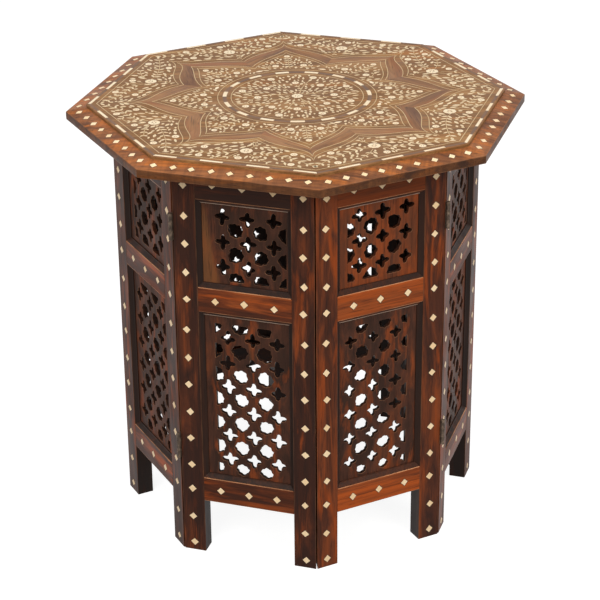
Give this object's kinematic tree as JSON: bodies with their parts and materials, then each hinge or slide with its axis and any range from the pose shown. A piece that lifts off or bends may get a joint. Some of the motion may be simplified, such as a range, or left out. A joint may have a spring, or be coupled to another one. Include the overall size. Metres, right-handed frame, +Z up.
{
  "type": "folding octagonal side table",
  "caption": "Octagonal side table with a loose inlaid top on a folding base of hinged wooden panels pierced with star lattice.",
  "frame": {"origin": "on the floor under the middle of the top, at the bottom centre of the table", "axes": "+Z up; the corners of the octagon lie on X, on Y and half way between, and -Y is the corner at the front"},
  "size_m": [0.5336, 0.5336, 0.508],
  "materials": {
    "stile_rosewood": "polished dark rosewood with dark streaks",
    "rail_rosewood": "polished orange-brown rosewood",
    "lattice_rosewood": "polished rosewood, pierced",
    "top_rosewood": "polished rosewood",
    "border_rosewood": "polished orange-brown rosewood",
    "bone": "polished bone inlay",
    "dark_inlay": "dark inlay wood",
    "hinge_metal": "aged dull brass"
  },
  "bodies": {
    "front_left_panel": {"front_left_left_stile": "stile_rosewood", "front_left_right_stile": "stile_rosewood", "front_left_rails": "rail_rosewood", "front_left_upper_jali": "lattice_rosewood", "front_left_lower_jali": "lattice_rosewood", "front_left_hinge_leaves": "hinge_metal", "front_left_hinge_pins": "hinge_metal"},
    "right_front_panel": {"right_front_left_stile": "stile_rosewood", "right_front_right_stile": "stile_rosewood", "right_front_rails": "rail_rosewood", "right_front_upper_jali": "lattice_rosewood", "right_front_lower_jali": "lattice_rosewood", "right_front_hinge_leaves": "hinge_metal", "right_front_hinge_pins": "hinge_metal"},
    "back_right_panel": {"back_right_left_stile": "stile_rosewood", "back_right_right_stile": "stile_rosewood", "back_right_rails": "rail_rosewood", "back_right_upper_jali": "lattice_rosewood", "back_right_lower_jali": "lattice_rosewood", "back_right_hinge_leaves": "hinge_metal", "back_right_hinge_pins": "hinge_metal"},
    "left_back_panel": {"left_back_left_stile": "stile_rosewood", "left_back_right_stile": "stile_rosewood", "left_back_rails": "rail_rosewood", "left_back_upper_jali": "lattice_rosewood", "left_back_lower_jali": "lattice_rosewood", "left_back_hinge_leaves": "hinge_metal", "left_back_hinge_pins": "hinge_metal"},
    "front_right_panel": {"front_right_left_stile": "stile_rosewood", "front_right_right_stile": "stile_rosewood", "front_right_rails": "rail_rosewood", "front_right_upper_jali": "lattice_rosewood", "front_right_lower_jali": "lattice_rosewood", "front_right_hinge_leaves": "hinge_metal"},
    "right_back_panel": {"right_back_left_stile": "stile_rosewood", "right_back_right_stile": "stile_rosewood", "right_back_rails": "rail_rosewood", "right_back_upper_jali": "lattice_rosewood", "right_back_lower_jali": "lattice_rosewood", "right_back_hinge_leaves": "hinge_metal"},
    "back_left_panel": {"back_left_left_stile": "stile_rosewood", "back_left_right_stile": "stile_rosewood", "back_left_rails": "rail_rosewood", "back_left_upper_jali": "lattice_rosewood", "back_left_lower_jali": "lattice_rosewood", "back_left_hinge_leaves": "hinge_metal"},
    "left_front_panel": {"left_front_left_stile": "stile_rosewood", "left_front_right_stile": "stile_rosewood", "left_front_rails": "rail_rosewood", "left_front_upper_jali": "lattice_rosewood", "left_front_lower_jali": "lattice_rosewood", "left_front_hinge_leaves": "hinge_metal"},
    "table_top": {"top_board": "top_rosewood", "top_border": "border_rosewood"}
  },
  "joints": [
    {"name": "base_fold", "type": "hinge", "parent": "front_left_panel", "child": "front_right_panel", "pos_m": [0, -0.19076, 0.2], "axis": [0, 0, 1], "range_deg": [0, 125]},
    {"name": "fold_front_right_to_right_front", "type": "hinge", "parent": "front_right_panel", "child": "right_front_panel", "pos_m": [0.15435, -0.15435, 0.2], "axis": [0, 0, 1], "range_deg": [-41.67, 0]},
    {"name": "fold_right_front_to_right_back", "type": "hinge", "parent": "right_front_panel", "child": "right_back_panel", "pos_m": [0.19076, 0, 0.2], "axis": [0, 0, 1], "range_deg": [0, 125]},
    {"name": "fold_right_back_to_back_right", "type": "hinge", "parent": "right_back_panel", "child": "back_right_panel", "pos_m": [0.15435, 0.15435, 0.2], "axis": [0, 0, 1], "range_deg": [-208.34, 0]},
    {"name": "fold_front_left_to_left_front", "type": "hinge", "parent": "front_left_panel", "child": "left_front_panel", "pos_m": [-0.15435, -0.15435, 0.2], "axis": [0, 0, 1], "range_deg": [0, 208.34]},
    {"name": "fold_left_front_to_left_back", "type": "hinge", "parent": "left_front_panel", "child": "left_back_panel", "pos_m": [-0.19076, 0, 0.2], "axis": [0, 0, 1], "range_deg": [-125, 0]},
    {"name": "fold_left_back_to_back_left", "type": "hinge", "parent": "left_back_panel", "child": "back_left_panel", "pos_m": [-0.15435, 0.15435, 0.2], "axis": [0, 0, 1], "range_deg": [0, 41.67]},
    {"name": "top_lift", "type": "slide", "parent": "front_left_panel", "child": "table_top", "axis": [0, 0, 1], "range_m": [0, 0.3]}
  ],
  "couplings": [
    {"joint": "fold_front_right_to_right_front", "follows": "base_fold", "ratio": -0.33333},
    {"joint": "fold_right_front_to_right_back", "follows": "base_fold", "ratio": 1},
    {"joint": "fold_right_back_to_back_right", "follows": "base_fold", "ratio": -1.6667},
    {"joint": "fold_front_left_to_left_front", "follows": "base_fold", "ratio": 1.6667},
    {"joint": "fold_left_front_to_left_back", "follows": "base_fold", "ratio": -1},
    {"joint": "fold_left_back_to_back_left", "follows": "base_fold", "ratio": 0.33333}
  ]
}
